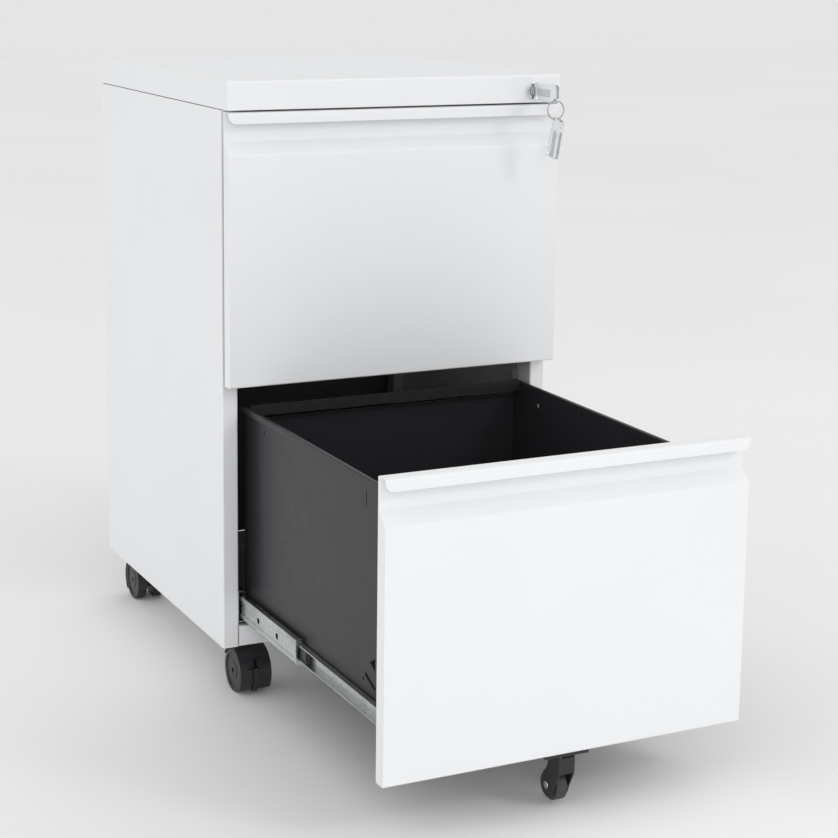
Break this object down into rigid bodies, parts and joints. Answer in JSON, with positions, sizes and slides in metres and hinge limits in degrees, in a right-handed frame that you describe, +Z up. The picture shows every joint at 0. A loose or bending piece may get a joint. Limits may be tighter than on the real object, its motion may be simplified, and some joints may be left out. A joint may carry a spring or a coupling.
{
  "type": "filing cabinet",
  "caption": "Mobile sheet-metal filing cabinet with file drawers on telescopic slides, a locking bar, twin-wheel casters and an anti-tip caster.",
  "frame": {"origin": "on the floor, in the middle of the footprint with the lower drawer pulled out", "axes": "+Z up, -Y towards the drawer faces, +X to the user's right when facing them"},
  "size_m": [0.39, 0.808, 0.671],
  "materials": {
    "white_paint": "satin powder coat",
    "charcoal_paint": "satin powder coat",
    "grey_paint": "satin powder coat",
    "black_steel": "satin black",
    "zinc": "bright zinc plated",
    "chrome": "polished",
    "clear_plastic": "clear moulded plastic",
    "black_plastic": "moulded nylon",
    "dark_tread": "moulded tread"
  },
  "bodies": {
    "cabinet": {"left_side_panel": "white_paint", "right_side_panel": "white_paint", "base_pan": "white_paint", "top_cover": "white_paint", "back_panel": "charcoal_paint", "top_rail": "grey_paint", "left_front_upright": "grey_paint", "left_rear_upright": "grey_paint", "right_front_upright": "grey_paint", "right_rear_upright": "grey_paint", "upper_left_slide_outer": "zinc", "upper_right_slide_outer": "zinc", "lower_left_slide_outer": "zinc", "lower_right_slide_outer": "zinc", "lock_barrel": "chrome"},
    "upper_drawer": {"upper_drawer_front": "white_paint", "upper_drawer_tub": "charcoal_paint", "upper_drawer_back": "charcoal_paint", "upper_front_hanger_rail": "black_steel", "upper_rear_hanger_rail": "black_steel", "upper_left_slide_inner": "zinc", "upper_right_slide_inner": "zinc"},
    "lower_drawer": {"lower_drawer_front": "white_paint", "lower_drawer_tub": "charcoal_paint", "lower_drawer_back": "charcoal_paint", "lower_front_hanger_rail": "black_steel", "lower_rear_hanger_rail": "black_steel", "lower_left_slide_inner": "zinc", "lower_right_slide_inner": "zinc", "tip_caster_bracket": "black_steel", "tip_caster_axle": "zinc"},
    "upper_left_middle_member": {"upper_left_slide_middle": "zinc"},
    "upper_right_middle_member": {"upper_right_slide_middle": "zinc"},
    "lower_left_middle_member": {"lower_left_slide_middle": "zinc"},
    "lower_right_middle_member": {"lower_right_slide_middle": "zinc"},
    "lock_plug_and_key": {"lock_plug": "chrome", "lock_cam": "zinc", "key_blade": "chrome", "key_bow": "clear_plastic"},
    "lock_bar": {"lock_bar": "zinc"},
    "key_ring": {"key_ring": "zinc"},
    "spare_key": {"spare_key_blade": "chrome", "spare_key_bow": "clear_plastic"},
    "front_left_caster": {"front_left_caster_hood": "black_plastic"},
    "front_left_caster_left_wheel": {"front_left_caster_left_wheel": "black_plastic"},
    "front_left_caster_right_wheel": {"front_left_caster_right_wheel": "black_plastic"},
    "front_left_brake_lever": {"front_left_brake_lever": "black_plastic"},
    "front_right_caster": {"front_right_caster_hood": "black_plastic"},
    "front_right_caster_left_wheel": {"front_right_caster_left_wheel": "black_plastic"},
    "front_right_caster_right_wheel": {"front_right_caster_right_wheel": "black_plastic"},
    "front_right_brake_lever": {"front_right_brake_lever": "black_plastic"},
    "rear_left_caster": {"rear_left_caster_hood": "black_plastic"},
    "rear_left_caster_left_wheel": {"rear_left_caster_left_wheel": "black_plastic"},
    "rear_left_caster_right_wheel": {"rear_left_caster_right_wheel": "black_plastic"},
    "rear_right_caster": {"rear_right_caster_hood": "black_plastic"},
    "rear_right_caster_left_wheel": {"rear_right_caster_left_wheel": "black_plastic"},
    "rear_right_caster_right_wheel": {"rear_right_caster_right_wheel": "black_plastic"},
    "tip_caster_wheel": {"tip_caster_wheel": "dark_tread"}
  },
  "joints": [
    {"name": "upper_drawer_slide", "type": "slide", "parent": "cabinet", "child": "upper_drawer", "axis": [0, -1, 0], "range_m": [0, 0.382]},
    {"name": "lower_drawer_slide", "type": "slide", "parent": "cabinet", "child": "lower_drawer", "axis": [0, -1, 0], "range_m": [-0.382, 0]},
    {"name": "upper_left_middle_slide", "type": "slide", "parent": "cabinet", "child": "upper_left_middle_member", "axis": [0, -1, 0], "range_m": [0, 0.191]},
    {"name": "upper_right_middle_slide", "type": "slide", "parent": "cabinet", "child": "upper_right_middle_member", "axis": [0, -1, 0], "range_m": [0, 0.191]},
    {"name": "lower_left_middle_slide", "type": "slide", "parent": "cabinet", "child": "lower_left_middle_member", "axis": [0, -1, 0], "range_m": [-0.191, 0]},
    {"name": "lower_right_middle_slide", "type": "slide", "parent": "cabinet", "child": "lower_right_middle_member", "axis": [0, -1, 0], "range_m": [-0.191, 0]},
    {"name": "lock_turn", "type": "hinge", "parent": "cabinet", "child": "lock_plug_and_key", "pos_m": [0.1613, -0.022, 0.6535], "axis": [0, 1, 0], "range_deg": [0, 90]},
    {"name": "lock_bar_slide", "type": "slide", "parent": "cabinet", "child": "lock_bar", "axis": [0, 0, -1], "range_m": [0, 0.01135]},
    {"name": "key_ring_swing", "type": "hinge", "parent": "lock_plug_and_key", "child": "key_ring", "pos_m": [0.1613, -0.071, 0.64715], "axis": [1, 0, 0], "range_deg": [-100, 15]},
    {"name": "spare_key_swing", "type": "hinge", "parent": "key_ring", "child": "spare_key", "pos_m": [0.1613, -0.071, 0.62615], "axis": [1, 0, 0], "range_deg": [-60, 15]},
    {"name": "front_left_caster_swivel", "type": "hinge", "parent": "cabinet", "child": "front_left_caster", "pos_m": [-0.158, 0.041, 0.059], "axis": [0, 0, 1], "continuous": true},
    {"name": "front_left_left_wheel_roll", "type": "hinge", "parent": "front_left_caster", "child": "front_left_caster_left_wheel", "pos_m": [-0.158, 0.024, 0.0235], "axis": [1, 0, 0], "continuous": true},
    {"name": "front_left_right_wheel_roll", "type": "hinge", "parent": "front_left_caster", "child": "front_left_caster_right_wheel", "pos_m": [-0.158, 0.024, 0.0235], "axis": [1, 0, 0], "continuous": true},
    {"name": "front_left_brake_press", "type": "hinge", "parent": "front_left_caster", "child": "front_left_brake_lever", "pos_m": [-0.158, 0.00101, 0.02839], "axis": [-1, 0, 0], "range_deg": [0, 15]},
    {"name": "front_right_caster_swivel", "type": "hinge", "parent": "cabinet", "child": "front_right_caster", "pos_m": [0.158, 0.041, 0.059], "axis": [0, 0, 1], "continuous": true},
    {"name": "front_right_left_wheel_roll", "type": "hinge", "parent": "front_right_caster", "child": "front_right_caster_left_wheel", "pos_m": [0.158, 0.024, 0.0235], "axis": [1, 0, 0], "continuous": true},
    {"name": "front_right_right_wheel_roll", "type": "hinge", "parent": "front_right_caster", "child": "front_right_caster_right_wheel", "pos_m": [0.158, 0.024, 0.0235], "axis": [1, 0, 0], "continuous": true},
    {"name": "front_right_brake_press", "type": "hinge", "parent": "front_right_caster", "child": "front_right_brake_lever", "pos_m": [0.158, 0.00101, 0.02839], "axis": [-1, 0, 0], "range_deg": [0, 15]},
    {"name": "rear_left_caster_swivel", "type": "hinge", "parent": "cabinet", "child": "rear_left_caster", "pos_m": [-0.158, 0.356, 0.059], "axis": [0, 0, 1], "continuous": true},
    {"name": "rear_left_left_wheel_roll", "type": "hinge", "parent": "rear_left_caster", "child": "rear_left_caster_left_wheel", "pos_m": [-0.158, 0.373, 0.0235], "axis": [1, 0, 0], "continuous": true},
    {"name": "rear_left_right_wheel_roll", "type": "hinge", "parent": "rear_left_caster", "child": "rear_left_caster_right_wheel", "pos_m": [-0.158, 0.373, 0.0235], "axis": [1, 0, 0], "continuous": true},
    {"name": "rear_right_caster_swivel", "type": "hinge", "parent": "cabinet", "child": "rear_right_caster", "pos_m": [0.158, 0.356, 0.059], "axis": [0, 0, 1], "continuous": true},
    {"name": "rear_right_left_wheel_roll", "type": "hinge", "parent": "rear_right_caster", "child": "rear_right_caster_left_wheel", "pos_m": [0.158, 0.373, 0.0235], "axis": [1, 0, 0], "continuous": true},
    {"name": "rear_right_right_wheel_roll", "type": "hinge", "parent": "rear_right_caster", "child": "rear_right_caster_right_wheel", "pos_m": [0.158, 0.373, 0.0235], "axis": [1, 0, 0], "continuous": true},
    {"name": "tip_caster_wheel_roll", "type": "hinge", "parent": "lower_drawer", "child": "tip_caster_wheel", "pos_m": [0, -0.379, 0.0205], "axis": [1, 0, 0], "continuous": true}
  ],
  "couplings": [
    {"joint": "upper_left_middle_slide", "follows": "upper_drawer_slide", "ratio": 0.5},
    {"joint": "upper_right_middle_slide", "follows": "upper_drawer_slide", "ratio": 0.5},
    {"joint": "lower_left_middle_slide", "follows": "lower_drawer_slide", "ratio": 0.5},
    {"joint": "lower_right_middle_slide", "follows": "lower_drawer_slide", "ratio": 0.5},
    {"joint": "lock_bar_slide", "follows": "lock_turn", "m_per_rad": 0.0072}
  ]
}
